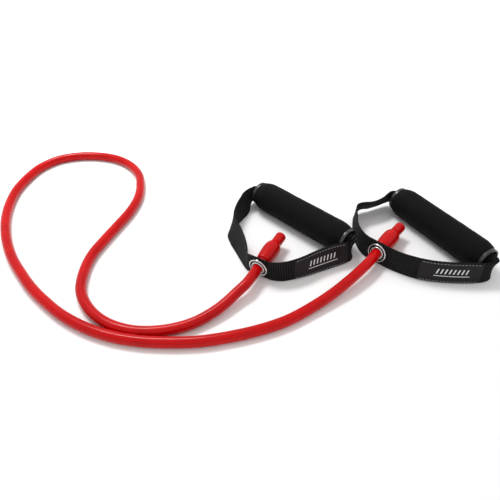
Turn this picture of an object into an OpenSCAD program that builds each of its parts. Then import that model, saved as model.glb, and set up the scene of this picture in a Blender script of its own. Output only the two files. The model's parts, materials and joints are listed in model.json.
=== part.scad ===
// Resistance band: one rubber tube with a foam-gripped webbing handle on each end.
// Lying slack on a floor at z = 0, the two handles side by side. Millimetres, +Z up.
// The origin is under the middle of the two handles.

/* [Tube] */
// outside diameter of the rubber tube
tube_d = 10.4; // [9.6:0.1:10.6]
// bore of the rubber tube
tube_bore = 5.2; // [4:0.1:6]
// largest diameter of the tube where it is stretched over a plug
bulb_d = 17.3; // [15.6:0.1:18]
// diameter of the short tail past the plug
tail_d = 11.3; // [10.4:0.1:11.6]
// distance from the middle of a grommet to the flat side of the swelling
bulb_start = 8; // [6.5:0.5:10]

/* [Grommets] */
// outside diameter of the grommet's front flange
flange_d = 20.6; // [18:0.1:21]
// hole that the tube runs through
grommet_bore = 11.8; // [11.6:0.1:12.4]
// diameter of the grommet's barrel in the webbing
barrel_d = 13.8; // [13.2:0.1:14.4]

/* [Webbing] */
// width of the webbing
web_w = 25; // [23:0.5:25]
// thickness of the webbing
web_t = 1.5; // [1:0.1:1.8]
// width of the sewn-on label
label_w = 23; // [18:0.5:23]
// thickness of the sewn-on label
label_t = 0.5; // [0.3:0.05:0.8]

/* [Grip] */
// length of the foam sleeve
foam_len = 120; // [117:1:121]
// outside diameter of the foam sleeve
foam_d = 32.6; // [31:0.2:32.6]
// rounding of the foam sleeve's ends
foam_round = 13; // [8:0.5:15]
// length of the plastic core, which stands out of both ends of the foam
core_len = 124.4; // [123.4:0.2:125.4]
// outside diameter of the plastic core
core_d = 25; // [24.6:0.1:25.4]
// bore of the plastic core
core_bore = 22.9; // [22.7:0.1:23.1]
// outside diameter of the collars on the core's ends
collar_d = 26.4; // [26.2:0.1:27.6]

/* [Hidden] */
// grommet centres, the tube's heading through them, and the grommets' heading and rise
left_hole = [-101.2, -59.3, 12.7];
left_heading = 63;
left_face = 58;
left_face_rise = 6;
right_hole = [19.7, -37.6, 12.7];
right_heading = 52;
right_face = 46;
right_face_rise = -4;
// middle of each grip and the heading of its axis
left_grip = [-53.6, 19.4, 16.3];
left_grip_turn = -44.9;
right_grip = [92.2, -1.3, 16.3];
right_grip_turn = -59.2;
grommet_fn = 72;
round_fn = 96;

// tube centreline between the two straight ends, from the left handle to the right
tube_route = [
  [-121, -91, 10.6], [-139, -110.5, 7.4], [-161, -126, 5.6],
  [-186, -134.2, 5.2], [-212.5, -134.8, 5.2], [-237.5, -126, 5.2],
  [-257.5, -109, 5.2], [-271, -86, 5.2], [-275, -59.5, 5.2],
  [-273, -33, 5.2], [-265, -7.5, 5.2], [-256, 17.5, 5.2],
  [-247.5, 42.5, 5.2], [-243, 69, 5.2], [-244.5, 95.5, 5.2],
  [-251, 121.5, 5.2], [-265.5, 143.5, 5.2], [-286.5, 159.5, 5.2],
  [-312, 167, 5.2], [-338.5, 167, 5.2], [-363, 158, 5.2],
  [-380.5, 138, 5.2], [-389, 113, 5.2], [-393, 86.5, 5.2],
  [-391.5, 60, 5.2], [-386.5, 34, 5.2], [-378, 8.5, 5.2],
  [-367, -15.5, 5.2], [-353.5, -38.5, 5.2], [-337.5, -60, 5.2],
  [-320.5, -80.5, 5.2], [-301.5, -99, 5.2], [-281, -116, 5.2],
  [-258, -130, 5.2], [-233.5, -140, 5.2], [-207.5, -145.7, 5.2],
  [-181, -147.5, 5.2], [-154, -146.5, 5.2], [-128, -141.5, 5.2],
  [-102.5, -134, 5.2], [-78, -123.5, 5.2], [-55.5, -109, 5.6],
  [-34, -93, 7.4], [-14, -76, 10.6]];

// tube end, from the straight stretch outside the grommet to the tail's cut end:
// distance along the axis from the grommet, outside radius, inside radius
end_profile = [
  [-24, tube_d / 2, tube_bore / 2], [-12, tube_d / 2, tube_bore / 2],
  [0, tube_d / 2, tube_bore / 2], [bulb_start - 4, tube_d / 2, tube_bore / 2],
  [bulb_start - 0.3, tube_d / 2 + 0.1, tube_bore / 2],
  [bulb_start, bulb_d / 2 - 2.4, tube_bore / 2 + 0.1],
  [bulb_start + 1.6, bulb_d / 2 - 1.3, bulb_d / 2 - 2.8],
  [bulb_start + 9, bulb_d / 2 - 0.4, bulb_d / 2 - 1.9],
  [bulb_start + 15, bulb_d / 2, bulb_d / 2 - 1.5],
  [bulb_start + 20, bulb_d / 2, bulb_d / 2 - 1.5],
  [bulb_start + 23.5, bulb_d / 2 - 0.25, bulb_d / 2 - 1.8],
  [bulb_start + 26, bulb_d / 2 - 0.85, bulb_d / 2 - 2.5],
  [bulb_start + 28.3, bulb_d / 2 - 1.9, bulb_d / 2 - 3.7],
  [bulb_start + 30.2, tail_d / 2 + 0.25, tube_bore / 2 + 0.7],
  [bulb_start + 31.4, tail_d / 2, tube_bore / 2 + 0.1],
  [bulb_start + 44, tail_d / 2, tube_bore / 2 + 0.1],
  [bulb_start + 44.8, tail_d / 2 - 0.4, tube_bore / 2 + 0.2]];

// stations of the webbing: x, y, z of its middle, the way its upper edge points,
// and how tightly it curls across its width; first the flat run at a grommet
hole_run = [0, 5.2, 10.2, 12.6];
// run through a grip's core: distance along the axis, lean, offset from the axis, curl
core_run = [
  [62.5, 5, 4.1, 0.106], [57, 5, 4, 0.106], [48, 6, 3.9, 0.105], [30, 8, 3.8, 0.105],
  [0, 14, 4, 0.105], [-32, 23, 4, 0.105], [-52, 28, 4, 0.105], [-62.5, 30, 3.8, 0.1]];
left_front = [
  [-84, -66.9, 12.7, -0.02, -0.04, 1, 0],
  [-76, -66.4, 12.7, 0, 0.02, 1, 0],
  [-67, -63.6, 12.7, -0.02, 0.05, 1, 0],
  [-56, -58.8, 12.7, -0.06, 0.12, 1, 0],
  [-42, -51.5, 12.6, -0.14, 0.24, 0.95, 0],
  [-26, -43.6, 12.5, -0.14, 0.26, 0.94, 0],
  [-11.5, -37.6, 12.6, -0.08, 0.14, 0.98, 0],
  [-7.4, -35, 13.2, -0.04, 0.04, 1, 0.01],
  [-7.1, -32.3, 14.1, -0.06, -0.02, 1, 0.045],
  [-9, -29.8, 15.4, -0.07, -0.06, 1, 0.09]];
left_side = [
  [-104.6, 61, 13.8, -0.25, -0.35, 0.9, 0.07],
  [-108.5, 57.8, 13.3, -0.32, -0.34, 0.88, 0.04],
  [-112.5, 51.4, 13, -0.42, -0.24, 0.87, 0.02],
  [-117, 42, 12.7, -0.38, -0.14, 0.91, 0],
  [-121.2, 33, 12.7, -0.25, -0.1, 0.96, 0],
  [-125, 23.5, 12.7, -0.08, -0.03, 1, 0],
  [-128.6, 13.5, 12.7, 0.15, 0, 0.99, 0],
  [-129.6, 3, 12.4, 0.36, -0.04, 0.92, 0],
  [-125.4, -9.5, 12.3, 0.48, -0.16, 0.86, 0],
  [-120.6, -23, 12.3, 0.4, -0.2, 0.89, 0],
  [-116.8, -35.5, 12.5, 0.27, -0.14, 0.95, 0],
  [-113.9, -46.3, 12.6, 0.1, -0.05, 0.99, 0]];
right_front = [
  [34.5, -51, 12.7, 0.03, 0.05, 1, 0],
  [42.5, -56, 12.7, 0.03, 0.06, 1, 0],
  [55, -62.2, 12.7, 0.03, 0.1, 1, 0],
  [70, -66.3, 12.7, 0, 0.1, 1, 0],
  [86, -68.3, 12.7, 0, 0.1, 1, 0],
  [101, -68.9, 12.7, 0, 0.1, 1, 0],
  [114, -68.7, 12.7, 0, 0.05, 1, 0],
  [120.8, -67.8, 12.7, 0, 0, 1, 0],
  [124.5, -65.7, 13.2, -0.04, 0, 1, 0.01],
  [125.1, -63, 14, -0.06, -0.02, 1, 0.045],
  [123.4, -60.2, 15.1, -0.09, -0.05, 1, 0.084]];
right_side = [
  [52.2, 53.4, 13.9, -0.22, -0.42, 0.87, 0.075],
  [46.8, 52.2, 13.5, -0.12, -0.5, 0.85, 0.045],
  [38.8, 48.2, 13.2, 0, -0.55, 0.84, 0.02],
  [28.3, 43.7, 13.6, 0, -0.6, 0.8, 0],
  [17.2, 39.4, 14.2, 0.02, -0.6, 0.8, 0],
  [9, 31.6, 13.3, 0, -0.34, 0.94, 0],
  [5.9, 20.5, 12.7, 0.05, -0.1, 0.99, 0],
  [4.4, 9, 12.7, 0.06, 0, 1, 0],
  [3.5, -2.5, 12.7, 0, 0, 1, 0],
  [4.4, -13, 12.7, 0, 0, 1, 0],
  [6.9, -22, 12.7, 0.02, 0.03, 1, 0]];
label_first = 6;
label_last = 10;

// sides of the tube, and spans along and across the webbing
tube_sides = 12;
web_steps = 3;
web_spans = 6;
// stitch pitch, length and thread diameter
stitch_pitch = 3.3;
stitch_len = 2.1;
thread_d = 0.6;
// gap between the grommet's metal and the webbing that turns in it
face_gap = 0.3;
// length of a collar's sleeve under the foam
sleeve_under = 3;

function unit(v) = v / norm(v);
function heading(a) = [cos(a), sin(a), 0];
function xyz(v) = [v[0], v[1], v[2]];
function backwards(list) = [for (i = [len(list) - 1:-1:0]) list[i]];

// smooth curve through b and c, with a and d as its neighbours, and its slope
function bend(a, b, c, d) = [2 * b, c - a, 2 * a - 5 * b + 4 * c - d, 3 * b - a - 3 * c + d];
function curve(m, t) = 0.5 * (m[0] + m[1] * t + m[2] * t * t + m[3] * t * t * t);
function slope(m, t) = 0.5 * (m[1] + 2 * m[2] * t + 3 * m[3] * t * t);

// flat stations past a grommet's hole on one side of it
function hole_stations(hole, turn, rise, side) = [for (d = hole_run)
  if (d > 0 || side > 0) concat(hole + side * d * heading(turn - 90),
    cos(rise) * [0, 0, 1] - sin(rise) * heading(turn), [0])];

// stations through a core, curled against its bore
function core_stations(middle, turn) = [for (q = core_run)
  concat(middle + q[0] * heading(turn)
      - q[2] * (cos(q[1]) * heading(turn + 90) + sin(q[1]) * [0, 0, 1]),
    cos(q[1]) * [0, 0, 1] - sin(q[1]) * heading(turn + 90), [q[3]])];

// one station of a webbing loop, with its upward direction made a unit vector
function station(loop, i) =
  let (p = loop[(i + len(loop)) % len(loop)])
  concat(xyz(p), unit([p[3], p[4], p[5]]), [p[6]]);

// frame of the webbing a fraction t past station i: middle, along, across, outward, curl
function web_frame(loop, i, t) =
  let (m = bend(station(loop, i - 1), station(loop, i), station(loop, i + 1), station(loop, i + 2)),
       p = curve(m, t),
       along = unit(xyz(slope(m, t))),
       up = [p[3], p[4], p[5]],
       across = unit(up - (up * along) * along))
  [xyz(p), along, across, cross(along, across), p[6]];

// point of a frame: u across the width, off outward from the middle of the thickness
function web_point(f, u, off) =
  let (k = f[4])
  abs(k) < 0.001
    ? f[0] + u * f[2] + off * f[3]
    : f[0] + sin(k * u * 180 / PI) * (1 / k - off) * f[2]
      + ((1 - cos(k * u * 180 / PI)) / k + off * cos(k * u * 180 / PI)) * f[3];

// the two closed loops, from the grommet along the label to the core and back
left_loop = concat(
  hole_stations(left_hole, left_face, left_face_rise, 1),
  left_front,
  core_stations(left_grip, left_grip_turn),
  left_side,
  backwards(hole_stations(left_hole, left_face, left_face_rise, -1)));
right_loop = concat(
  hole_stations(right_hole, right_face, right_face_rise, 1),
  right_front,
  core_stations(right_grip, right_grip_turn),
  right_side,
  backwards(hole_stations(right_hole, right_face, right_face_rise, -1)));

// outline of a layer of webbing at a frame, from offset low to offset high
function web_section(f, w, low, high) = concat(
  [for (i = [0:web_spans]) web_point(f, w * (i / web_spans - 0.5), low)],
  [for (i = [web_spans:-1:0]) web_point(f, w * (i / web_spans - 0.5), high)]);

// every vertex of a list of rings
function flat(rings) = [for (r = rings) for (p = r) p];

// faces that join ring i to ring j, with n points in each
function band(i, j, n) = [for (k = [0:n - 1]) for (h = [0, 1])
  let (q = (k + 1) % n)
  h == 0 ? [i * n + k, j * n + k, j * n + q] : [i * n + k, j * n + q, i * n + q]];

// solid whose rings follow each other round and close on the first one
module closed_sweep(rings) {
  count = len(rings);
  polyhedron(points = flat(rings),
    faces = [for (i = [0:count - 1]) for (f = band(i, (i + 1) % count, len(rings[0]))) f]);
}

// solid whose first and last rings are capped
module open_sweep(rings) {
  count = len(rings);
  n = len(rings[0]);
  polyhedron(points = flat(rings),
    faces = concat(
      [[for (k = [0:n - 1]) k]],
      [for (i = [0:count - 2]) for (f = band(i, i + 1, n)) f],
      [[for (k = [n - 1:-1:0]) (count - 1) * n + k]]));
}

// ring of radius r about point p, square to direction d
function tube_ring(p, d, r) =
  let (side = unit(cross([0, 0, 1], d)), up = cross(d, side))
  [for (k = [0:tube_sides - 1])
    p + r * (cos(360 * k / tube_sides) * side + sin(360 * k / tube_sides) * up)];

// tube stations from the left tail to the right one: point, direction, both radii
function end_stations(hole, turn, inward) = [for (p = end_profile)
  [hole + p[0] * heading(turn), inward * heading(turn), p[1], p[2]]];
route_line = concat([left_hole - 24 * heading(left_heading)], tube_route,
  [right_hole - 24 * heading(right_heading)]);
route_stations = [for (i = [1:len(tube_route)])
  [route_line[i], unit(route_line[i + 1] - route_line[i - 1]), tube_d / 2, tube_bore / 2]];
tube_stations = concat(
  backwards(end_stations(left_hole, left_heading, -1)),
  route_stations,
  end_stations(right_hole, right_heading, 1));

// put a child, drawn along +Z, on a heading and a rise
module face_along(hole, turn, rise) {
  translate(hole) rotate([0, 90 - rise, turn]) children();
}

// put a child, drawn along +X about its middle, on a grip's axis
module on_grip(middle, turn) {
  translate(middle) rotate([0, 0, turn]) children();
}

module tube() {
  color([0.84, 0.04, 0.07])
    closed_sweep(concat(
      [for (s = tube_stations) tube_ring(s[0], s[1], s[2])],
      [for (s = backwards(tube_stations)) tube_ring(s[0], s[1], s[3])]));
}

// solid plug that the tube is stretched over, flat side towards the grommet
module stopper_plug(hole, turn) {
  color([0.12, 0.12, 0.13])
    face_along(hole, turn, 0)
      translate([0, 0, bulb_start + 1.7])
        rotate_extrude($fn = round_fn)
          polygon([[0, 0], [bulb_d / 2 - 3.2, 0], [bulb_d / 2 - 2.85, 0.4],
            [bulb_d / 2 - 1.95, 7.3], [bulb_d / 2 - 1.55, 13.3], [bulb_d / 2 - 1.55, 18.3],
            [bulb_d / 2 - 1.85, 21.8], [bulb_d / 2 - 2.6, 24.3], [bulb_d / 2 - 3.8, 26.6],
            [3.2, 28.4], [2.4, 29.2], [0, 29.4]]);
}

// front half of a grommet: a rolled ring outside, and a barrel through the webbing
module grommet(hole, turn, rise) {
  face = web_t / 2 + face_gap;
  r = grommet_bore / 2;
  b = barrel_d / 2;
  f = flange_d / 2;
  color([0.78, 0.78, 0.8])
    face_along(hole, turn, rise)
      rotate_extrude($fn = grommet_fn)
        polygon([[r, -face - 1.3], [r + 0.15, -face - 1.75], [r + 0.5, -face - 1.95],
          [r + 0.9, -face - 1.8], [r + 1.15, -face - 1.35], [r + 1.5, -face - 1.05],
          [f - 2.2, -face - 1.15], [f - 1.6, -face - 1.5], [f - 1, -face - 1.55],
          [f - 0.4, -face - 1.25], [f - 0.05, -face - 0.7], [f, -face - 0.2],
          [f - 0.2, -face], [b, -face], [b, face + 0.9], [b + 0.3, face + 0.95],
          [b + 0.95, face + 1], [b + 1.25, face + 1.3], [b + 1, face + 1.7],
          [b + 0.3, face + 1.85], [r + 0.4, face + 1.75], [r + 0.1, face + 1.45],
          [r, face + 1]]);
}

// back washer of a grommet, under the barrel's rolled rim
module grommet_washer(hole, turn, rise) {
  face = web_t / 2 + face_gap;
  b = barrel_d / 2;
  f = flange_d / 2 - 0.3;
  color([0.74, 0.74, 0.76])
    face_along(hole, turn, rise)
      rotate_extrude($fn = grommet_fn)
        polygon([[b - 0.05, face], [f - 0.2, face], [f, face + 0.2], [f - 0.1, face + 0.6],
          [f - 0.6, face + 0.9], [b + 1.6, face + 0.95], [b - 0.05, face + 0.95]]);
}

// closed webbing loop, through the grip's core and round to the grommet's hole
module strap(loop, hole, turn, rise) {
  color([0.07, 0.07, 0.08])
    difference() {
      closed_sweep([for (i = [0:len(loop) - 1]) for (k = [0:web_steps - 1])
        web_section(web_frame(loop, i, k / web_steps), web_w, -web_t / 2, web_t / 2)]);
      face_along(hole, turn, rise)
        rotate([0, 0, 17])
          translate([0, 0, -4])
            cylinder(h = 8, r = barrel_d / 2 + 0.05, $fn = grommet_fn);
    }
}

// sewn label on the outside of the webbing
module strap_label(loop) {
  frames = concat(
    [for (i = [label_first:label_last - 1]) for (k = [0:web_steps - 1])
      web_frame(loop, i, k / web_steps)],
    [web_frame(loop, label_last, 0)]);
  color([0.13, 0.11, 0.12])
    open_sweep([for (f = frames) web_section(f, label_w, web_t / 2 - 0.05, web_t / 2 + label_t)]);
}

// one stitch of thread lying along a frame
module stitch(f, u) {
  turn = atan2(f[1][1], f[1][0]);
  side = f[2] * [-sin(turn), cos(turn), 0];
  translate(web_point(f, u, web_t / 2 + label_t + 0.1))
    rotate([atan2(-side, f[2][2]), 0, turn])
      rotate([0, 90, 0])
        cylinder(h = stitch_len, d = thread_d, center = true, $fn = 16);
}

// thread that sews the label on, a row along each edge
module label_stitching(loop) {
  color([0.6, 0.6, 0.62])
    for (i = [label_first:label_last - 1]) {
      n = round(norm(xyz(loop[i + 1]) - xyz(loop[i])) / stitch_pitch);
      for (k = [0:n - 1]) {
        stitch(web_frame(loop, i, (k + 0.5) / n), label_w / 2 - 1.2);
        stitch(web_frame(loop, i, (k + 0.5) / n), 1.2 - label_w / 2);
      }
    }
}

// plastic tube inside a grip
module grip_core(middle, turn) {
  color([0.1, 0.1, 0.11])
    on_grip(middle, turn)
      rotate([0, 90, 0])
        difference() {
          cylinder(h = core_len, d = core_d, center = true, $fn = round_fn);
          cylinder(h = core_len + 2, d = core_bore, center = true, $fn = round_fn);
        }
}

// lipped collar pushed over one end of a core, its sleeve under the foam; end is 1 or -1
module core_collar(middle, turn, end) {
  sleeve = (core_len - foam_len) / 2 + sleeve_under;
  color([0.14, 0.14, 0.15])
    on_grip(middle, turn)
      rotate([0, 90 * end, 0])
        translate([0, 0, core_len / 2])
          rotate_extrude($fn = round_fn)
            polygon([[core_bore / 2, 0], [core_bore / 2, 0.7], [core_bore / 2 + 0.35, 1.25],
              [core_bore / 2 + 0.9, 1.4], [collar_d / 2 - 0.6, 1.3], [collar_d / 2 - 0.15, 0.9],
              [collar_d / 2, 0.3], [collar_d / 2, -sleeve], [core_d / 2, -sleeve],
              [core_d / 2, 0]]);
}

// foam sleeve with rounded ends, recessed for the collars
module foam_grip(middle, turn) {
  half = foam_len / 2;
  rim = collar_d / 2;
  out = foam_d / 2;
  color([0.09, 0.09, 0.09])
    on_grip(middle, turn)
      rotate([0, 90, 0])
        difference() {
          rotate_extrude($fn = round_fn)
            polygon(concat(
              [[core_d / 2, -half + sleeve_under], [rim, -half + sleeve_under], [rim, -half]],
              [for (t = [-0.9:0.15:0]) [out - (out - rim - 0.2) * t * t,
                -half + foam_round * (1 + t)]],
              [for (t = [0:0.15:0.9]) [out - (out - rim - 0.2) * t * t,
                half - foam_round * (1 - t)]],
              [[rim, half], [rim, half - sleeve_under], [core_d / 2, half - sleeve_under]]));
          cylinder(h = 2 * foam_len, d = core_d, center = true, $fn = round_fn);
        }
}

tube();
stopper_plug(left_hole, left_heading);  // stopper_plug_left
stopper_plug(right_hole, right_heading);  // stopper_plug_right
grommet(left_hole, left_face, left_face_rise);  // grommet_left
grommet(right_hole, right_face, right_face_rise);  // grommet_right
grommet_washer(left_hole, left_face, left_face_rise);  // grommet_washer_left
grommet_washer(right_hole, right_face, right_face_rise);  // grommet_washer_right
strap(left_loop, left_hole, left_face, left_face_rise);  // strap_left
strap(right_loop, right_hole, right_face, right_face_rise);  // strap_right
strap_label(left_loop);  // strap_label_left
strap_label(right_loop);  // strap_label_right
label_stitching(left_loop);  // label_stitching_left
label_stitching(right_loop);  // label_stitching_right
grip_core(left_grip, left_grip_turn);  // grip_core_left
grip_core(right_grip, right_grip_turn);  // grip_core_right
core_collar(left_grip, left_grip_turn, -1);  // core_collar_left_outer
core_collar(left_grip, left_grip_turn, 1);  // core_collar_left_inner
core_collar(right_grip, right_grip_turn, -1);  // core_collar_right_inner
core_collar(right_grip, right_grip_turn, 1);  // core_collar_right_outer
foam_grip(left_grip, left_grip_turn);  // foam_grip_left
foam_grip(right_grip, right_grip_turn);  // foam_grip_right
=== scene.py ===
import json
import math

import bmesh
import bpy
import numpy as np
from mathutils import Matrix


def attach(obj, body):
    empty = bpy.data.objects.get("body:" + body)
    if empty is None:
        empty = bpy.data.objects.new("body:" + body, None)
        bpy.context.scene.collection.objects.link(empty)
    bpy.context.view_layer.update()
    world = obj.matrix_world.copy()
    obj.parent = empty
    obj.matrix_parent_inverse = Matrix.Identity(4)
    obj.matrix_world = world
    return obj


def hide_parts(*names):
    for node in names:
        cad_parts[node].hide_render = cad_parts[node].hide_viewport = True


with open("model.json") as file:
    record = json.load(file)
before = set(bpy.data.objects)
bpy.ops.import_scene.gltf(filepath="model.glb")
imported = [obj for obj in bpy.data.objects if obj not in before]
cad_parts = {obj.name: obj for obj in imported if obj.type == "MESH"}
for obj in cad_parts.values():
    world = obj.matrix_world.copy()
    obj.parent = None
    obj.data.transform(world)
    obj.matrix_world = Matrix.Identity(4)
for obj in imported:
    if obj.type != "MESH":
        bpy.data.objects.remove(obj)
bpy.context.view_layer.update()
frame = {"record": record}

# Resistance band: a red rubber tube with a foam-gripped webbing handle on each end.

# ---------------------------------------------------------------- sizes, in metres
# tube: radius outside, of the bore, of the swelling and of the tail; distance from the
# grommet's middle to the swelling's start and the tail's end on one side, and to the end
# of the straight run on the other
TUBE_R = 0.0052
BORE_R = 0.0026
BULB_R = 0.00865
TAIL_R = 0.00565
BULB_START = 0.008
TAIL_END = BULB_START + 0.0448
STRAIGHT_RUN = 0.024
# plug: where it starts, from the grommet's middle, and its radius inside the swelling
PLUG_START = BULB_START + 0.0017
PLUG_R = BULB_R - 0.0016
# grip: radius and half length of the foam, and length of its domed shoulder; half length,
# radius and bore of the core; radius of the collar and its reach under the foam
FOAM_R = 0.0163
FOAM_HALF = 0.060
FOAM_ROUND = 0.013
CORE_HALF = 0.0622
CORE_R = 0.0125
CORE_BORE_R = 0.01145
COLLAR_R = 0.0132
SLEEVE_UNDER = 0.003
# webbing and its cross ribs; label, the offsets of its underside and top from the webbing's
# middle, and the loop's stations where it starts and ends
WEB_W = 0.025
WEB_T = 0.0014
RIB_PITCH = 0.0016
RIB_RISE = 0.0002
LABEL_W = 0.023
LABEL_UNDER = 0.00045
LABEL_TOP = WEB_T / 2 + 0.0005
LABEL_SPAN = (6, 10)
# grommet: half the gap between its flanges; radius of the flange, of the bore and of the
# barrel; radius of the hole in the webbing
FACE = 0.00105
GROMMET_R = 0.0103
GROMMET_BORE_R = 0.0059
BARREL_R = 0.0069
HOLE_R = 0.0075
# spline steps between two of the webbing's stations, and rows of mesh to a rib
STATION_STEPS = 24
RIB_ROWS = 5
# mesh sides round the turned pieces
TUBE_SIDES = 40
PLUG_SIDES = 64
GROMMET_SIDES = 144
FOAM_SIDES = 220
STITCH_SIDES = 8

# camera: degrees below the level, and place
CAMERA_DOWN = 40.6
CAMERA_PLACE = (-0.110, -0.422, 0.345)

JOINTS = {joint["name"]: joint for joint in frame["record"]["behaviour"]["joints"]}


def read_side(name):
    """What a handle's webbing meets: the grommet's middle and axis, the tube's way through
    it, and the grip's middle and axis."""
    swivel, spin = JOINTS[f"{name}_handle_swivel"], JOINTS[f"{name}_grip_spin"]
    return {"hole": np.array(swivel["pos_m"]), "face": np.array(swivel["axis"]),
            "tube": np.array(JOINTS[f"{name}_grommet_slide"]["axis"]),
            "grip": np.array(spin["pos_m"]), "way": np.array(spin["axis"])}


SIDES = {name: read_side(name) for name in ("left", "right")}

# tube centreline between the straight ends, from the left handle to the right one
TUBE_ROUTE = [
    (-0.121, -0.091, 0.0106), (-0.139, -0.1105, 0.0074), (-0.161, -0.126, 0.0056),
    (-0.186, -0.1342, 0.0052), (-0.2125, -0.1348, 0.0052), (-0.2375, -0.126, 0.0052),
    (-0.2575, -0.109, 0.0052), (-0.271, -0.086, 0.0052), (-0.275, -0.0595, 0.0052),
    (-0.273, -0.033, 0.0052), (-0.265, -0.0075, 0.0052), (-0.256, 0.0175, 0.0052),
    (-0.2475, 0.0425, 0.0052), (-0.243, 0.069, 0.0052), (-0.2445, 0.0955, 0.0052),
    (-0.251, 0.1215, 0.0052), (-0.2655, 0.1435, 0.0052), (-0.2865, 0.1595, 0.0052),
    (-0.312, 0.167, 0.0052), (-0.3385, 0.167, 0.0052), (-0.363, 0.158, 0.0052),
    (-0.3805, 0.138, 0.0052), (-0.389, 0.113, 0.0052), (-0.393, 0.0865, 0.0052),
    (-0.3915, 0.06, 0.0052), (-0.3865, 0.034, 0.0052), (-0.378, 0.0085, 0.0052),
    (-0.367, -0.0155, 0.0052), (-0.3535, -0.0385, 0.0052), (-0.3375, -0.06, 0.0052),
    (-0.3205, -0.0805, 0.0052), (-0.3015, -0.099, 0.0052), (-0.281, -0.116, 0.0052),
    (-0.258, -0.13, 0.0052), (-0.2335, -0.14, 0.0052), (-0.2075, -0.1457, 0.0052),
    (-0.181, -0.1475, 0.0052), (-0.154, -0.1465, 0.0052), (-0.128, -0.1415, 0.0052),
    (-0.1025, -0.134, 0.0052), (-0.078, -0.1235, 0.0052), (-0.0555, -0.109, 0.0056),
    (-0.034, -0.093, 0.0074), (-0.014, -0.076, 0.0106),
]
# webbing at the grommet: distances of its flat stations from the grommet's middle
HOLE_RUN = (0, 0.0052, 0.0102, 0.0126)
# webbing inside the grip: distance along the grip's axis, lean in degrees, offset from the
# axis, curl across the width in radians per metre
CORE_RUN = [
    (0.0625, 5, 0.0041, 106), (0.057, 5, 0.004, 106),
    (0.048, 6, 0.0039, 105), (0.03, 8, 0.0038, 105),
    (0, 14, 0.004, 105), (-0.032, 23, 0.004, 105),
    (-0.052, 28, 0.004, 105), (-0.0625, 30, 0.0038, 100),
]
# the rest of each loop: middle, the way the upper edge points, and curl
LEFT_FRONT = [
    (-0.084, -0.0669, 0.0127, -0.02, -0.04, 1, 0),
    (-0.076, -0.0664, 0.0127, 0, 0.02, 1, 0),
    (-0.067, -0.0636, 0.0127, -0.02, 0.05, 1, 0),
    (-0.056, -0.0588, 0.0127, -0.06, 0.12, 1, 0),
    (-0.042, -0.0515, 0.0126, -0.14, 0.24, 0.95, 0),
    (-0.026, -0.0436, 0.0125, -0.14, 0.26, 0.94, 0),
    (-0.0115, -0.0376, 0.0126, -0.08, 0.14, 0.98, 0),
    (-0.0074, -0.035, 0.0132, -0.04, 0.04, 1, 10),
    (-0.0071, -0.0323, 0.0141, -0.06, -0.02, 1, 45),
    (-0.009, -0.0298, 0.0154, -0.07, -0.06, 1, 90),
]
LEFT_SIDE = [
    (-0.1046, 0.061, 0.0138, -0.25, -0.35, 0.9, 70),
    (-0.1085, 0.0578, 0.0133, -0.32, -0.34, 0.88, 40),
    (-0.1125, 0.0514, 0.013, -0.42, -0.24, 0.87, 20),
    (-0.117, 0.042, 0.0127, -0.38, -0.14, 0.91, 0),
    (-0.1212, 0.033, 0.0127, -0.25, -0.1, 0.96, 0),
    (-0.125, 0.0235, 0.0127, -0.08, -0.03, 1, 0),
    (-0.1286, 0.0135, 0.0127, 0.15, 0, 0.99, 0),
    (-0.1296, 0.003, 0.0124, 0.36, -0.04, 0.92, 0),
    (-0.1254, -0.0095, 0.0123, 0.48, -0.16, 0.86, 0),
    (-0.1206, -0.023, 0.0123, 0.4, -0.2, 0.89, 0),
    (-0.1168, -0.0355, 0.0125, 0.27, -0.14, 0.95, 0),
    (-0.1139, -0.0463, 0.0126, 0.1, -0.05, 0.99, 0),
]
RIGHT_FRONT = [
    (0.0345, -0.051, 0.0127, 0.03, 0.05, 1, 0),
    (0.0425, -0.056, 0.0127, 0.03, 0.06, 1, 0),
    (0.055, -0.0622, 0.0127, 0.03, 0.1, 1, 0),
    (0.07, -0.0663, 0.0127, 0, 0.1, 1, 0),
    (0.086, -0.0683, 0.0127, 0, 0.1, 1, 0),
    (0.101, -0.0689, 0.0127, 0, 0.1, 1, 0),
    (0.114, -0.0687, 0.0127, 0, 0.05, 1, 0),
    (0.1208, -0.0678, 0.0127, 0, 0, 1, 0),
    (0.1245, -0.0657, 0.0132, -0.04, 0, 1, 10),
    (0.1251, -0.063, 0.014, -0.06, -0.02, 1, 45),
    (0.1234, -0.0602, 0.0151, -0.09, -0.05, 1, 84),
]
RIGHT_SIDE = [
    (0.0522, 0.0534, 0.0139, -0.22, -0.42, 0.87, 75),
    (0.0468, 0.0522, 0.0135, -0.12, -0.5, 0.85, 45),
    (0.0388, 0.0482, 0.0132, 0, -0.55, 0.84, 20),
    (0.0283, 0.0437, 0.0136, 0, -0.6, 0.8, 0),
    (0.0172, 0.0394, 0.0142, 0.02, -0.6, 0.8, 0),
    (0.009, 0.0316, 0.0133, 0, -0.34, 0.94, 0),
    (0.0059, 0.0205, 0.0127, 0.05, -0.1, 0.99, 0),
    (0.0044, 0.009, 0.0127, 0.06, 0, 1, 0),
    (0.0035, -0.0025, 0.0127, 0, 0, 1, 0),
    (0.0044, -0.013, 0.0127, 0, 0, 1, 0),
    (0.0069, -0.022, 0.0127, 0.02, 0.03, 1, 0),
]

# ---------------------------------------------------------------- curves and meshes
def unit(v):
    """Vectors brought to length 1."""
    return v / np.linalg.norm(v, axis=-1, keepdims=True)


UP = np.array([0.0, 0.0, 1.0])


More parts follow.
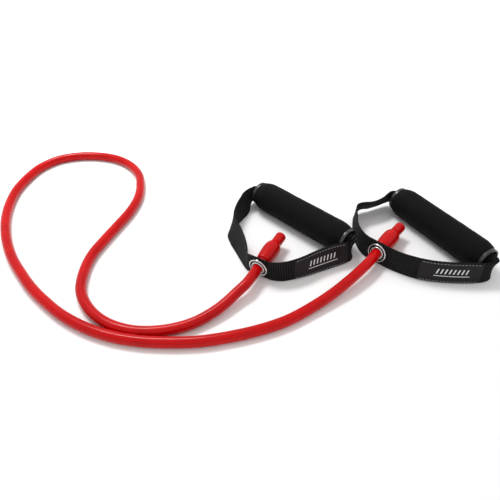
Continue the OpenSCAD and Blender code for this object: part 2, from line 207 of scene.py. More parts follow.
def spline(points, steps, closed=False):
    """Points of a smooth curve through the given ones, and its slope at each."""
    points = np.asarray(points, float)
    if closed:
        padded = np.vstack([points[-1:], points, points[:2]])
    else:
        first = 2 * points[:1] - points[1:2]
        last = 2 * points[-1:] - points[-2:-1]
        padded = np.vstack([first, points, last])
    t = (np.arange(steps) / steps)[:, None]
    place, slope = [], []
    for a, b, c, d in zip(padded, padded[1:], padded[2:], padded[3:]):
        m1, m2, m3 = c - a, 2 * a - 5 * b + 4 * c - d, 3 * b - a - 3 * c + d
        place.append(0.5 * (2 * b + m1 * t + m2 * t**2 + m3 * t**3))
        slope.append(0.5 * (m1 + 2 * m2 * t + 3 * m3 * t**2))
    if not closed:
        place.append(points[-1:])
        slope.append(slope[-1][-1:])
    return np.vstack(place), np.vstack(slope)


def lengths(points):
    """Distance along a line of points to each of them."""
    steps = np.linalg.norm(np.diff(points, axis=0), axis=1)
    return np.concatenate([[0], np.cumsum(steps)])


def resample(table, s, wanted):
    """Rows of a table, given at distances s, read off at the wanted distances."""
    return np.stack([np.interp(wanted, s, column) for column in table.T], axis=1)


def ripple(points, size, seed=0):
    """Smooth noise from -1 to 1 at each point; size is the width of its bumps in metres."""
    rng = np.random.default_rng(seed)
    # ten sine waves in random directions; 4.5 brings their sum to about -1 to 1
    waves = rng.normal(size=(10, 3)) * 2.2 / size
    phase = rng.uniform(0, 2 * math.pi, 10)
    return np.sin(points @ waves.T + phase).sum(-1) / 4.5


def grid_piece(name, points, loop_rows, loop_cols, material, uv=None, keep=None):
    """Mesh of a grid of points, rows by columns, closed on itself where asked; uv gives the
    distance of each column across and of each row along."""
    rows, cols = points.shape[:2]
    i, j = np.meshgrid(np.arange(rows if loop_rows else rows - 1),
                       np.arange(cols if loop_cols else cols - 1), indexing="ij")
    if keep is not None:
        wanted = keep(i, j)
        i, j = i[wanted], j[wanted]
    i, j = i.ravel(), j.ravel()
    i2, j2 = (i + 1) % rows, (j + 1) % cols
    quads = np.stack([i * cols + j, i * cols + j2, i2 * cols + j2, i2 * cols + j], axis=1)
    mesh = bpy.data.meshes.new(name)
    mesh.from_pydata(points.reshape(-1, 3).tolist(), [], quads.tolist())
    if uv is not None:
        across, along = uv
        corners = np.stack([across[np.stack([j, j + 1, j + 1, j], axis=1)],
                            along[np.stack([i, i, i + 1, i + 1], axis=1)]], axis=2)
        mesh.uv_layers.new(name="uv").data.foreach_set("uv", corners.ravel())
    return finish_piece(name, mesh, material)


def finish_piece(name, mesh, material):
    """An object in the scene for a mesh, smooth and with its material."""
    mesh.shade_smooth()
    mesh.materials.append(material)
    piece = bpy.data.objects.new(name, mesh)
    bpy.context.scene.collection.objects.link(piece)
    return piece


def lathe(name, middle, axis, profile, material, sides=128, wobble=None):
    """Surface of revolution; the profile is pairs of distance along the axis and radius."""
    profile = np.asarray(profile, float)
    axis = unit(np.asarray(axis, float))
    side = unit(np.cross(axis, UP))
    other = np.cross(axis, side)
    a = np.arange(sides) * 2 * math.pi / sides
    ring = np.cos(a)[:, None] * side + np.sin(a)[:, None] * other
    radius = profile[:, 1, None, None]
    points = np.asarray(middle) + profile[:, 0, None, None] * axis + radius * ring
    if wobble is not None:
        points = points + wobble(points)[..., None] * ring
    around = np.arange(sides + 1) / sides * 2 * math.pi * profile[:, 1].max()
    return grid_piece(name, points, False, True, material, (around, lengths(profile)))


def rounded(corners, radius, steps=5):
    """A profile with each inner corner turned into an arc of about the given radius."""
    corners = np.asarray(corners, float)
    out = [corners[0]]
    for a, b, c in zip(corners, corners[1:], corners[2:]):
        r = min(radius, 0.48 * np.linalg.norm(a - b), 0.48 * np.linalg.norm(c - b))
        start, end = b + r * unit(a - b), b + r * unit(c - b)
        for t in np.linspace(0, 1, steps):
            out.append((1 - t) ** 2 * start + 2 * t * (1 - t) * b + t**2 * end)
    out.append(corners[-1])
    return np.array(out)


def fuse(name, grids, material):
    """One mesh from many small grids of the same shape, each closed round its columns
    and capped at both ends."""
    grids = np.asarray(grids)
    count, rows, cols = grids.shape[:3]
    k, i, j = np.meshgrid(np.arange(count), np.arange(rows - 1), np.arange(cols), indexing="ij")
    base, j2 = k * rows * cols, (j + 1) % cols
    quads = np.stack([base + i * cols + j, base + i * cols + j2,
                      base + (i + 1) * cols + j2, base + (i + 1) * cols + j], axis=-1)
    first = np.arange(count)[:, None] * rows * cols + np.arange(cols)
    caps = np.vstack([first[:, ::-1], first + (rows - 1) * cols])
    mesh = bpy.data.meshes.new(name)
    mesh.from_pydata(grids.reshape(-1, 3).tolist(), [],
                     quads.reshape(-1, 4).tolist() + caps.tolist())
    return finish_piece(name, mesh, material)


def cap_ends(mesh, rows, cols):
    """Closes the first and last ring of an open grid mesh."""
    work = bmesh.new()
    work.from_mesh(mesh)
    work.verts.ensure_lookup_table()
    work.faces.new([work.verts[k] for k in reversed(range(cols))])
    work.faces.new([work.verts[(rows - 1) * cols + k] for k in range(cols)])
    work.to_mesh(mesh)
    work.free()


def line_hole(mesh):
    """Joins the two rims of a hole cut through a closed strip, and drops loose points."""
    work = bmesh.new()
    work.from_mesh(mesh)
    loose = [vert for vert in work.verts if not vert.link_faces]
    bmesh.ops.delete(work, geom=loose, context="VERTS")
    bmesh.ops.bridge_loops(work, edges=[edge for edge in work.edges if edge.is_boundary])
    work.to_mesh(mesh)
    work.free()


# ---------------------------------------------------------------- materials
class Shader:
    """A Principled material, with short calls for the nodes that feed it."""

    def __init__(self, name, **values):
        self.material = bpy.data.materials.new(name)
        self.material.use_nodes = True
        self.tree = self.material.node_tree
        self.surface = self.tree.nodes["Principled BSDF"]
        for socket, value in values.items():
            self.surface.inputs[socket.replace("_", " ")].default_value = value

    def node(self, kind, **settings):
        made = self.tree.nodes.new(kind)
        for key, value in settings.items():
            setattr(made, key, value)
        return made

    def feed(self, target, socket, value):
        if isinstance(value, bpy.types.NodeSocket):
            self.tree.links.new(value, target.inputs[socket])
        else:
            target.inputs[socket].default_value = value

    def math(self, operation, a, b=0.0):
        made = self.node("ShaderNodeMath", operation=operation)
        self.feed(made, 0, a)
        self.feed(made, 1, b)
        return made.outputs[0]

    def place(self, scale=(1, 1, 1), uv=False):
        """Coordinates in metres, or the piece's own across and along distances, scaled."""
        source = self.node("ShaderNodeTexCoord").outputs["UV" if uv else "Object"]
        mapping = self.node("ShaderNodeMapping")
        self.feed(mapping, "Vector", source)
        mapping.inputs["Scale"].default_value = scale
        return mapping.outputs[0]

    def noise(self, vector, scale, detail=3.0, roughness=0.55):
        made = self.node("ShaderNodeTexNoise")
        self.feed(made, "Vector", vector)
        made.inputs["Scale"].default_value = scale
        made.inputs["Detail"].default_value = detail
        made.inputs["Roughness"].default_value = roughness
        return made.outputs["Fac"]

    def cells(self, vector, scale):
        made = self.node("ShaderNodeTexVoronoi")
        self.feed(made, "Vector", vector)
        made.inputs["Scale"].default_value = scale
        return made.outputs["Distance"]

    def spread(self, value, low, high, start=0.3, end=0.7):
        """A value taken from start..end to low..high."""
        made = self.node("ShaderNodeMapRange")
        for socket, given in (("Value", value), ("From Min", start), ("From Max", end),
                              ("To Min", low), ("To Max", high)):
            self.feed(made, socket, given)
        return made.outputs[0]

    def colours(self, value, first, second):
        made = self.node("ShaderNodeMix", data_type="RGBA")
        self.feed(made, 0, value)
        made.inputs[6].default_value = (*first, 1)
        made.inputs[7].default_value = (*second, 1)
        self.feed(self.surface, "Base Color", made.outputs[2])

    def bumps(self, *layers):
        """Bump layers, each a height and how far it rises in metres."""
        normal = None
        for height, rise in layers:
            bump = self.node("ShaderNodeBump")
            self.feed(bump, "Height", height)
            bump.inputs["Distance"].default_value = rise
            if normal is not None:
                self.feed(bump, "Normal", normal)
            normal = bump.outputs[0]
        self.feed(self.surface, "Normal", normal)

    def roughness(self, value):
        self.feed(self.surface, "Roughness", value)


def rubber_material():
    """Smooth red rubber: a thin gloss over slightly cloudy colour, with drawn streaks."""
    s = Shader("tube_rubber", Specular_IOR_Level=0.08, Coat_Weight=0.22, Coat_Roughness=0.15,
               Subsurface_Weight=0.06, Subsurface_Radius=(0.004, 0.0006, 0.0004),
               Subsurface_Scale=1.0, IOR=1.5)
    cloud = s.noise(s.place(), 45, 4)
    streaks = s.noise(s.place((1400, 40, 1), uv=True), 1, 3)
    grain = s.noise(s.place(), 2600, 2)
    s.colours(s.spread(cloud, 0, 1), (0.42, 0.0002, 0.0008), (0.54, 0.0006, 0.0018))
    s.roughness(s.spread(s.math("ADD", s.math("MULTIPLY", streaks, 0.5),
                                s.math("MULTIPLY", cloud, 0.5)), 0.22, 0.36))
    s.bumps((streaks, 0.00004), (grain, 0.00001))
    return s.material


def foam_material():
    """Matt black closed-cell foam: two sizes of cell over a slightly uneven skin."""
    s = Shader("foam", Specular_IOR_Level=0.12)
    fine = s.cells(s.place(), 2600)
    coarse = s.cells(s.place(), 900)
    patches = s.noise(s.place(), 70, 4)
    s.colours(s.spread(patches, 0, 1), (0.0016, 0.0016, 0.0016), (0.0045, 0.0044, 0.0044))
    s.roughness(s.spread(patches, 0.72, 0.9))
    s.bumps((s.noise(s.place(), 160, 3), 0.0004), (coarse, 0.00022), (fine, 0.00012))
    return s.material


def weave_height(s, across_pitch, along_pitch):
    """Height of a plain weave: cross ribs, each broken into short threads that alternate."""
    uv = s.node("ShaderNodeSeparateXYZ")
    s.feed(uv, 0, s.place(uv=True))
    rib = s.math("MULTIPLY", uv.outputs[1], 2 * math.pi / along_pitch)
    number = s.math("FLOOR", s.math("DIVIDE", uv.outputs[1], along_pitch))
    offset = s.math("MULTIPLY", number, math.pi)
    thread = s.math("ADD", s.math("MULTIPLY", uv.outputs[0], 2 * math.pi / across_pitch), offset)
    ribs = s.math("POWER", s.math("ABSOLUTE", s.math("SINE", s.math("MULTIPLY", rib, 0.5))), 5)
    threads = s.spread(s.math("SINE", thread), 0.35, 1, -1, 1)
    return s.math("MULTIPLY", ribs, threads)


def webbing_material():
    """Black ribbed webbing whose raised threads catch the light, with a painted highlight on
    their tops and painted shade between them.
    """
    s = Shader("webbing", Specular_IOR_Level=0.06)
    weave = weave_height(s, 0.0011, RIB_PITCH)
    fibres = s.noise(s.place((9000, 1500, 1), uv=True), 1, 2)
    patches = s.noise(s.place(), 60, 3)
    # painted highlight and shade: the colour follows the weave's height, light on the raised
    # threads and dark in the hollows between them
    s.colours(s.math("MULTIPLY", weave, s.spread(patches, 0.7, 1.2)),
              (0.0004, 0.0004, 0.0005), (0.060, 0.0585, 0.061))
    s.roughness(s.spread(fibres, 0.5, 0.75))
    s.bumps((weave, 0.00035), (fibres, 0.00006))
    return s.material


def label_material():
    """Fine black satin with a faint warm tint."""
    s = Shader("label_fabric", Specular_IOR_Level=0.2)
    weave = weave_height(s, 0.00042, 0.0006)
    patches = s.noise(s.place(), 90, 3)
    s.colours(s.spread(patches, 0, 1), (0.005, 0.0038, 0.0045), (0.013, 0.0105, 0.012))
    s.roughness(s.spread(patches, 0.42, 0.58))
    s.bumps((weave, 0.00007), (s.noise(s.place(), 260, 3), 0.0003))
    return s.material


def thread_material(name, dark, light):
    """Twisted sewing thread."""
    s = Shader(name, Roughness=0.75)
    twist = s.noise(s.place(), 3800, 2)
    s.colours(s.spread(twist, 0, 1), dark, light)
    s.bumps((twist, 0.00008))
    return s.material


def metal_material(groove_start, groove_end):
    """Bright plate, darkened at random by dirt, with painted shade over a span of the profile's
    length.
    """
    s = Shader("grommet_metal", Metallic=1.0)
    dirt_and_painted_shade = s.spread(s.noise(s.place(), 700, 4), 0, 0.35)
    along = s.node("ShaderNodeSeparateXYZ")
    s.feed(along, 0, s.place(uv=True))
    blur = 0.0002
    # painted shade: the span from groove_start to groove_end, the groove between the rolled
    # rings, is darkened in the colour as if shaded
    near = s.spread(along.outputs[1], 0, 1, groove_start - blur, groove_start + blur)
    past = s.spread(along.outputs[1], 1, 0, groove_end - blur, groove_end + blur)
    # the dark colour is random dirt everywhere plus the painted shade in the groove
    dirt_and_painted_shade = s.math("MAXIMUM", dirt_and_painted_shade, s.math("MULTIPLY", near, past))
    s.colours(dirt_and_painted_shade, (0.80, 0.79, 0.77), (0.035, 0.034, 0.033))
    smear = s.noise(s.place(), 300, 4)
    scratches = s.noise(s.place((6000, 300, 300)), 1, 2)
    s.roughness(s.spread(smear, 0.10, 0.26))
    s.bumps((scratches, 0.000012))
    return s.material


def plastic_material(name, roughness, colour):
    """Moulded plastic with faint smears."""
    s = Shader(name, Base_Color=(*colour, 1), IOR=1.5)
    smear = s.noise(s.place(), 220, 3)
    s.roughness(s.spread(smear, roughness - 0.06, roughness + 0.08))
    s.bumps((s.noise(s.place(), 900, 3), 0.00003))
    return s.material


# ---------------------------------------------------------------- camera, light, floor
def make_camera():
    """Camera whose focal length equals its sensor's width, set as fitted to the photo."""
    camera = bpy.data.objects.new("camera", bpy.data.cameras.new("camera"))
    camera.data.sensor_width = 36
    camera.data.lens = 36
    camera.location = CAMERA_PLACE
    camera.rotation_euler = (math.radians(90 - CAMERA_DOWN), 0, 0)
    bpy.context.scene.collection.objects.link(camera)
    bpy.context.scene.camera = camera


def area_light(name, place, target, size, power):
    """Round white lamp at a place, aimed at a target; size in metres and power in watts."""
    light = bpy.data.lights.new(name, "AREA")
    light.shape = "DISK"
    light.size = size
    light.energy = power
    lamp = bpy.data.objects.new(name, light)
    lamp.location = place
    aim = np.array(target, float) - np.array(place, float)
    turn = math.atan2(aim[0], -aim[1])
    lamp.rotation_euler = (math.atan2(math.hypot(aim[0], aim[1]), -aim[2]), 0, turn)
    bpy.context.scene.collection.objects.link(lamp)


def make_studio():
    """Even white surroundings, three soft lamps and a pale floor just under z = 0."""
    world = bpy.data.worlds.new("studio")
    world.use_nodes = True
    background = world.node_tree.nodes["Background"]
    background.inputs["Color"].default_value = (1, 1, 1, 1)
    background.inputs["Strength"].default_value = 0.8
    bpy.context.scene.world = world
    bpy.context.scene.view_settings.view_transform = "Standard"
    area_light("key", (-0.55, 0.6, 1.3), (-0.1, 0, 0), 0.7, 28)
    area_light("front", (0.35, -1.2, 1.0), (-0.1, 0, 0), 0.9, 9)
    area_light("right", (1.1, 0.5, 0.8), (0, 0, 0), 0.7, 4)

    floor = Shader("floor", Base_Color=(0.92, 0.92, 0.92, 1), Roughness=0.85)
    mottle = floor.noise(floor.place(), 40, 3)
    floor.bumps((mottle, 0.0001))
    bpy.ops.mesh.primitive_plane_add(size=14, location=(0, 0, -0.00005))
    ground = bpy.context.object
    ground.name = "floor"
    ground.data.materials.append(floor.material)


# ---------------------------------------------------------------- rubber tube and plugs
def end_profile():
    """Distance from the grommet, outside radius: tube, swelling over the plug, and tail."""
    s = BULB_START
    body = [(s - 0.0008, TUBE_R), (s - 0.0001, TUBE_R + 0.0004), (s, BULB_R - 0.0024),
            (s + 0.0004, BULB_R - 0.0017), (s + 0.0016, BULB_R - 0.0013),
            (s + 0.005, BULB_R - 0.00085), (s + 0.009, BULB_R - 0.0004), (s + 0.015, BULB_R),
            (s + 0.020, BULB_R), (s + 0.0235, BULB_R - 0.00025), (s + 0.026, BULB_R - 0.00085),
            (s + 0.0283, BULB_R - 0.0019), (s + 0.0302, TAIL_R + 0.00025), (s + 0.0314, TAIL_R),
            (s + 0.038, TAIL_R), (s + 0.044, TAIL_R)]
    curve, _ = spline(body, 5)
    lip = [(s + 0.0446, TAIL_R - 0.0002), (TAIL_END, TAIL_R - 0.0006),
           (TAIL_END, BORE_R + 0.0005), (s + 0.0446, BORE_R + 0.0001),
           (s + 0.038, BORE_R + 0.0001), (s + 0.0378, 0.0002)]
    return np.vstack([[(d, TUBE_R) for d in np.linspace(0, s - 0.001, 6)], curve, lip])


def tube_line():
    """Centre and radius of every ring from the left tail to the right one, and the line
    between the grommets."""
    left, right = SIDES["left"], SIDES["right"]
    profile = end_profile()
    ends = [side["hole"] + profile[:, :1] * side["tube"] for side in (left, right)]
    straight = [side["hole"] - STRAIGHT_RUN * side["tube"] for side in (left, right)]
    middle, _ = spline(np.vstack([left["hole"], straight[0], np.array(TUBE_ROUTE),
                                  straight[1], right["hole"]]), 10)
    points = np.vstack([ends[0][::-1], middle[1:-1], ends[1]])
    radius = np.concatenate([profile[::-1, 1], np.full(len(middle) - 2, TUBE_R),
                             profile[:, 1]])
    return points, radius, middle


def carried_frames(slope):
    """Two directions across a line at each point, turned along it without twisting."""
    along = unit(slope)
    side = [unit(np.cross(UP, along[0]))]
    for way in along[1:]:
        side.append(unit(side[-1] - (side[-1] @ way) * way))
    side = np.array(side)
    return side, np.cross(along, side)


def make_tube():
    """The rubber tube with its two ends, and the line that a cord's path follows."""
    points, radius, middle = tube_line()
    slope = np.gradient(points, axis=0)
    left, right = SIDES["left"], SIDES["right"]
    count = len(end_profile())
    slope[:count] = -left["tube"]
    slope[-count:] = right["tube"]
    across, up = carried_frames(slope)
    a = np.arange(TUBE_SIDES) * 2 * math.pi / TUBE_SIDES
    ring = np.cos(a)[:, None] * across[:, None] + np.sin(a)[:, None] * up[:, None]
    surface = points[:, None] + radius[:, None, None] * ring
    surface = surface + 0.00004 * ripple(surface, 0.02, 3)[..., None] * ring
    around = np.arange(TUBE_SIDES + 1) / TUBE_SIDES * 2 * math.pi * TUBE_R
    tube = grid_piece("tube_rubber", surface, False, True, rubber_material(),
                      (around, lengths(points)))
    cap_ends(tube.data, *surface.shape[:2])
    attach(tube, "tube")
    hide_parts("tube")
    tails = [side["hole"] + TAIL_END * side["tube"] for side in (left, right)]
    path = np.vstack([tails[0], middle, tails[1]])
    return tube, path


def make_plugs(material):
    """Turned plugs that the tube is stretched over, one inside each swelling."""
    r = PLUG_R
    profile = rounded([(0, 0.0001), (0, r - 0.0015), (0.0073, r - 0.0004), (0.0133, r),
                       (0.0183, r), (0.0218, r - 0.0003), (0.0243, r - 0.00105),
                       (0.0266, r - 0.00225), (0.0284, 0.0031), (0.0292, 0.0024),
                       (0.0294, 0.0001)], 0.001)
    plugs = []
    for name, side in SIDES.items():
        start = side["hole"] + PLUG_START * side["tube"]
        plug = lathe(f"plug_{name}", start, side["tube"], profile, material, PLUG_SIDES)
        cap_ends(plug.data, len(profile), PLUG_SIDES)
        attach(plug, "tube")
        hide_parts(f"stopper_plug_{name}")
        plugs.append(plug)
    return plugs


# ---------------------------------------------------------------- grommets
def make_grommets():
    """Each grommet: a front with two rolled rings and a groove, and a back washer."""
    r, b, f = GROMMET_BORE_R, BARREL_R, GROMMET_R
    front = rounded([(FACE, r), (-FACE - 0.0013, r), (-FACE - 0.0019, r + 0.0002),
                     (-FACE - 0.0019, r + 0.0009), (-FACE - 0.0010, r + 0.0013),
                     (-FACE - 0.0006, r + 0.0018), (-FACE - 0.0006, f - 0.0017),
                     (-FACE - 0.0013, f - 0.0013), (-FACE - 0.00155, f - 0.0009),
                     (-FACE - 0.0013, f - 0.0003), (-FACE - 0.0006, f), (-FACE, f - 0.0001),
                     (-FACE, b), (FACE + 0.0009, b), (FACE + 0.001, b + 0.0010),
                     (FACE + 0.0015, b + 0.0012), (FACE + 0.0018, b + 0.0004),
                     (FACE + 0.0016, r + 0.0002), (FACE, r)], 0.0004)
    back = rounded([(FACE, b), (FACE, f - 0.0005), (FACE + 0.0003, f - 0.0003),
                    (FACE + 0.0009, f - 0.0009), (FACE + 0.00095, b + 0.0014),
                    (FACE + 0.00095, b), (FACE, b)], 0.0003)
    run = lengths(front)

    def station(distance, radius):
        """Length along the front's profile to its point nearest to the given one."""
        return run[np.argmin(np.abs(front - [distance, radius]).sum(1))]

    # the span of the front's profile that gets painted shade: the groove between the rolled rings
    material = metal_material(station(-FACE - 0.0012, r + 0.00125),
                              station(-FACE - 0.0011, f - 0.0014))
    for name, side in SIDES.items():
        for piece_name, profile, node in (("grommet", front, "grommet"),
                                          ("washer", back, "grommet_washer")):
            piece = lathe(f"{piece_name}_{name}", side["hole"], side["face"], profile,
                          material, GROMMET_SIDES)
            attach(piece, f"grommet_{name}")
            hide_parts(f"{node}_{name}")


# ---------------------------------------------------------------- webbing handles
def hole_stations(side, sign):
    """Flat stations past the grommet's hole, on one side of it."""
    sideways = unit(np.cross(side["face"], UP))
    lean = np.cross(sideways, side["face"])
    runs = [d for d in HOLE_RUN if d > 0 or sign > 0]
    return [(*(side["hole"] + sign * d * sideways), *lean, 0.0) for d in runs]


def core_stations(side):
    """Stations through the grip's core, curled against its bore."""
    rows = []
    flat = np.cross(UP, side["way"])
    for along, lean, offset, curl in CORE_RUN:
        a = math.radians(lean)
        middle = (side["grip"] + along * side["way"]
                  - offset * (math.cos(a) * flat + math.sin(a) * UP))
        rows.append((*middle, *(math.cos(a) * UP - math.sin(a) * flat), curl))
    return rows


def loop_stations(side, front, back):
    """Every station of a closed loop, from the grommet along the label and back."""
    rows = (hole_stations(side, 1) + list(front) + core_stations(side) + list(back)
            + hole_stations(side, -1)[::-1])
    rows = np.array(rows)
    rows[:, 3:6] = unit(rows[:, 3:6])
    return rows


class Ribbon:
    """The webbing's middle line, its directions and its curl at any distance along it."""

    def __init__(self, stations):
        fine, slope = spline(stations, STATION_STEPS, closed=True)
        fine = np.vstack([fine, fine[:1]])
        slope = np.vstack([slope, slope[:1]])
        s = lengths(fine[:, :3])
        self.length = s[-1]
        self.station_s = s[::STATION_STEPS]
        # columns: middle (3), the way the upper edge points (3), curl, the way along (3)
        self.table = np.hstack([fine, slope[:, :3]])
        self.s = s

    def rows(self, wanted):
        """Middle, across, outward and curl at distances along the loop."""
        row = resample(self.table, self.s, np.mod(wanted, self.length))
        along = unit(row[:, 7:10])
        up = row[:, 3:6]
        across = unit(up - (up * along).sum(1, keepdims=True) * along)
        return row[:, :3], across, np.cross(along, across), row[:, 6]

    def points(self, wanted, u, off):
        """Grid of points: u across the width and off outward, one row per distance."""
        middle, across, outward, curl = self.rows(np.asarray(wanted, float))
        u, off = np.broadcast_arrays(u, off)
        if u.ndim == 1:
            u, off = np.tile(u, (len(middle), 1)), np.tile(off, (len(middle), 1))
        # a flat row counts as very slightly curled, so that 1 / k stays finite
        k = np.maximum(np.abs(curl), 0.01)[:, None]
        sideways = np.sin(k * u) * (1 / k - off)
        out = (1 - np.cos(k * u)) / k + off * np.cos(k * u)
        return (middle[:, None] + sideways[..., None] * across[:, None]
                + out[..., None] * outward[:, None])


def web_outline(width, low, high, columns):
    """Across positions and offsets round a strip's section, with rounded edges."""
    half, mid, r = width / 2, (low + high) / 2, (high - low) / 2
    across = np.linspace(-half + r, half - r, columns)
    a = np.radians(np.array([-60, -30, 0, 30, 60]))
    u = np.concatenate([across, half - r + r * np.cos(a), across[::-1], r - half - r * np.cos(a)])
    off = np.concatenate([np.full(columns, low), mid + r * np.sin(a), np.full(columns, high),
                          mid - r * np.sin(a)])
    return u, off


def make_strap(name, side, ribbon, material):
    """Woven strap: a raised rib every pitch on both faces, and rounded selvedges."""
    ribs = round(ribbon.length / RIB_PITCH)
    rows = ribs * RIB_ROWS
    s = np.arange(rows) / rows * ribbon.length
    u, off = web_outline(WEB_W, -WEB_T / 2, WEB_T / 2, 26)
    rib = np.abs(np.sin(math.pi * s / ribbon.length * ribs))[:, None]
    inner = np.clip(1 - (np.abs(u) / (WEB_W / 2)) ** 8, 0, 1)
    grain = ripple(np.stack([np.tile(u, (rows, 1)), np.tile(s[:, None], (1, len(u))),
                             np.tile(off, (rows, 1))], axis=-1), 0.004, 5)
    swell = RIB_RISE * (rib - 0.5) * inner + 0.00004 * grain
    offsets = off + np.sign(off) * swell
    edge = np.tile(u, (rows, 1)) * (1 + 0.006 * (rib - 0.5))
    points = ribbon.points(s, edge, offsets)
    near = np.linalg.norm(ribbon.points(s, edge, 0 * offsets) - side["hole"], axis=2)

    def keep(i, j):
        return near[i, j] > HOLE_R

    across = np.concatenate([u, u[:1]])
    strap = grid_piece(f"webbing_{name}", points, True, True, material,
                       (across, np.append(s, ribbon.length)), keep)
    line_hole(strap.data)
    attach(strap, f"handle_{name}")
    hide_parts(f"strap_{name}")


def make_label(name, ribbon, material):
    """Satin label with turned edges, sewn to the outside of the webbing; gives the
    distances along the loop where it starts and ends."""
    start, end = (ribbon.station_s[i] for i in LABEL_SPAN)
    s = np.concatenate([[start], start + np.array([0.0002, 0.0006]),
                        np.linspace(start + 0.001, end - 0.001, 150),
                        end - np.array([0.0006, 0.0002]), [end]])
    u, off = web_outline(LABEL_W, LABEL_UNDER, LABEL_TOP, 24)
    thin = np.ones(len(s))
    thin[[0, 1, 2, -3, -2, -1]] = [0.1, 0.7, 0.95, 0.95, 0.7, 0.1]
    mid = off.mean()
    offs = mid + (off - mid) * thin[:, None]
    along = np.tile(s[:, None], (1, len(u)))
    offs = offs + (off > mid) * 0.00005 * ripple(
        np.stack([np.tile(u, (len(s), 1)), along, 0 * along], -1), 0.007, 9)
    points = ribbon.points(s, np.tile(u, (len(s), 1)), offs)
    label = grid_piece(f"label_{name}", points, False, True, material,
                       (np.append(u, u[0]), s))
    cap_ends(label.data, *points.shape[:2])
    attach(label, f"handle_{name}")
    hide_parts(f"strap_label_{name}")
    return start, end


def stitch_grid(ribbon, s0, u0, s1, u1, base):
    """One stitch: a thread that rises out of the cloth, runs along it and dives back in."""
    rise, thread_r = 0.00034, 0.00031
    t = np.linspace(0, 1, 9)
    height = base + rise * np.sin(math.pi * t) ** 0.6
    s, u = s0 + (s1 - s0) * t, u0 + (u1 - u0) * t
    middle = np.vstack([ribbon.points([a], np.array([b]), np.array([h]))[0]
                        for a, b, h in zip(s, u, height)])
    way = unit(np.gradient(middle, axis=0))
    outward = ribbon.rows(s)[2]
    side = unit(np.cross(outward, way))
    other = np.cross(way, side)
    a = np.arange(STITCH_SIDES) * 2 * math.pi / STITCH_SIDES
    r = thread_r * np.sqrt(np.clip(np.sin(math.pi * (0.04 + 0.92 * t)), 0.05, 1))
    return middle[:, None] + r[:, None, None] * (np.cos(a)[:, None] * side[:, None]
                                                 + np.sin(a)[:, None] * other[:, None])


def make_stitching(name, ribbon, start, end, material):
    """A row of stitches along each edge of the label."""
    pitch, length, margin = 0.0033, 0.0023, 0.002
    edge = LABEL_W / 2 - 0.0013
    base = LABEL_TOP - 0.00012
    grids = []
    count = int((end - start - 0.003) / pitch)
    for u in (-edge, edge):
        for k in range(count):
            s = start + margin + k * (end - start - 2 * margin) / count
            grids.append(stitch_grid(ribbon, s, u, s + length, u, base))
    piece = fuse(f"stitching_{name}", grids, material)
    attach(piece, f"handle_{name}")
    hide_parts(f"label_stitching_{name}")


def make_mark(name, ribbon, start, end, material):
    """Plain woven mark on the label: a row of slanted bars over one line."""
    middle = (start + end) / 2 + 0.001
    # each bar: where it starts along the loop and across it, where it ends, and its width
    bars = [(-0.014 + 0.004 * k, -0.0012, -0.0126 + 0.004 * k, 0.0044, 0.0013) for k in range(8)]
    bars.append((-0.016, -0.0038, 0.018, -0.0038, 0.0007))
    grids = []
    for s0, u0, s1, u1, width in bars:
        t = np.linspace(0, 1, 12)
        line_s, line_u = middle + s0 + (s1 - s0) * t, u0 + (u1 - u0) * t
        corners = np.array([1, -1, -1, 1]) * width / 2
        ds, du = (0 * corners, -corners) if u0 == u1 else (corners, 0 * corners)
        h = LABEL_TOP + np.array([-0.0001, -0.0001, 0.00006, 0.00006])
        grids.append(np.array([
            np.vstack([ribbon.points([a + x], np.array([b + y]), np.array([z]))[0]
                       for x, y, z in zip(ds, du, h)])
            for a, b in zip(line_s, line_u)]))
    piece = fuse(f"label_mark_{name}", grids, material)
    piece.data.shade_flat()
    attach(piece, f"handle_{name}")


def make_handles():
    """Both webbing loops with their labels, stitching and marks."""
    webbing, label = webbing_material(), label_material()
    thread = thread_material("thread", (0.10, 0.10, 0.105), (0.36, 0.36, 0.37))
    mark = thread_material("mark_thread", (0.55, 0.54, 0.55), (0.85, 0.84, 0.85))
    runs = {"left": (LEFT_FRONT, LEFT_SIDE), "right": (RIGHT_FRONT, RIGHT_SIDE)}
    for name, side in SIDES.items():
        ribbon = Ribbon(loop_stations(side, *runs[name]))
        make_strap(name, side, ribbon, webbing)
        start, end = make_label(name, ribbon, label)
        make_stitching(name, ribbon, start, end, thread)
        make_mark(name, ribbon, start, end, mark)


# ---------------------------------------------------------------- foam grips
def foam_profile():
    """Closed section of the sleeve: bore, recesses for the collars, and domed shoulders."""
    rim = COLLAR_R
    shoulder = [(FOAM_HALF - FOAM_ROUND * (1 - t), FOAM_R - (FOAM_R - rim - 0.0002) * t * t)
                for t in np.linspace(0, 1, 18)]
    straight = [(x, FOAM_R) for x in np.linspace(0, FOAM_HALF - FOAM_ROUND, 90)[:-1]]
    recess = [(FOAM_HALF - 0.0004, rim - 0.0001), (FOAM_HALF - SLEEVE_UNDER, rim),
              (FOAM_HALF - SLEEVE_UNDER, CORE_R + 0.0002)]
    half = straight + shoulder + recess
    seam = [(0, half[-1][1])]
    return seam + [(-x, r) for x, r in half[:0:-1]] + half + seam


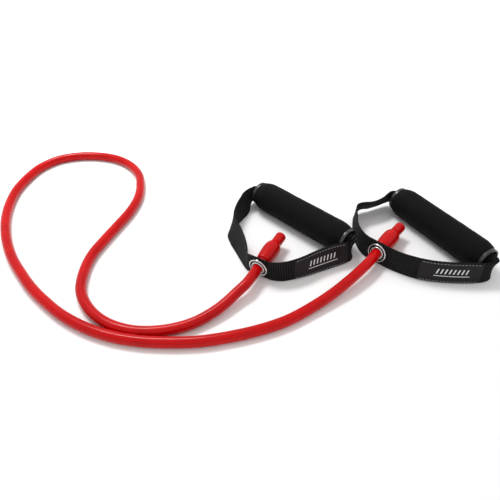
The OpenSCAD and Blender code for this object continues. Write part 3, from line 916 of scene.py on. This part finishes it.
def foam_dents(points):
    """How far the foam's surface lies out of true: broad dents and fine ones."""
    return 0.00012 * ripple(points, 0.012, 11) + 0.00004 * ripple(points, 0.0016, 12)


def make_grips():
    """Both grips: foam sleeve, core and a lipped collar on each end."""
    foam = foam_material()
    core = plastic_material("core_plastic", 0.45, (0.008, 0.008, 0.0085))
    gloss = plastic_material("collar_plastic", 0.24, (0.022, 0.022, 0.024))
    sleeve = (CORE_HALF - FOAM_HALF) + SLEEVE_UNDER
    lip = rounded([(0.0002, CORE_R), (0.0, CORE_BORE_R + 0.0001), (0.0013, CORE_BORE_R + 0.0002),
                   (0.0014, CORE_BORE_R + 0.0012), (0.0013, COLLAR_R - 0.0002),
                   (-0.0002, COLLAR_R), (-sleeve, COLLAR_R), (-sleeve, CORE_R),
                   (0.0002, CORE_R)], 0.0006)[::-1]
    barrel = rounded([(0, CORE_R), (-CORE_HALF, CORE_R), (-CORE_HALF, CORE_BORE_R),
                      (0, CORE_BORE_R), (CORE_HALF, CORE_BORE_R), (CORE_HALF, CORE_R),
                      (0, CORE_R)], 0.0003)[::-1]
    ends = {"left": {"outer": -1, "inner": 1}, "right": {"inner": -1, "outer": 1}}
    for name, side in SIDES.items():
        way, middle = side["way"], side["grip"]
        grip = lathe(f"foam_{name}", middle, way, foam_profile(), foam, FOAM_SIDES, foam_dents)
        pieces = [(grip, "foam", [f"foam_grip_{name}"])]
        pieces.append((lathe(f"core_{name}", middle, way, barrel, core), "core_plastic",
                       [f"grip_core_{name}"]))
        for end, sign in ends[name].items():
            collar = lathe(f"collar_{name}_{end}", middle + sign * CORE_HALF * way,
                           sign * way, lip, gloss)
            pieces.append((collar, "collar_plastic", [f"core_collar_{name}_{end}"]))
        for piece, slot, nodes in pieces:
            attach(piece, f"grip_{name}")
            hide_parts(*nodes)


# ---------------------------------------------------------------- scene
make_camera()
tube, path = make_tube()
plugs = make_plugs(plastic_material("plug_plastic", 0.5, (0.012, 0.012, 0.013)))
make_handles()
make_grommets()
make_grips()
make_studio()
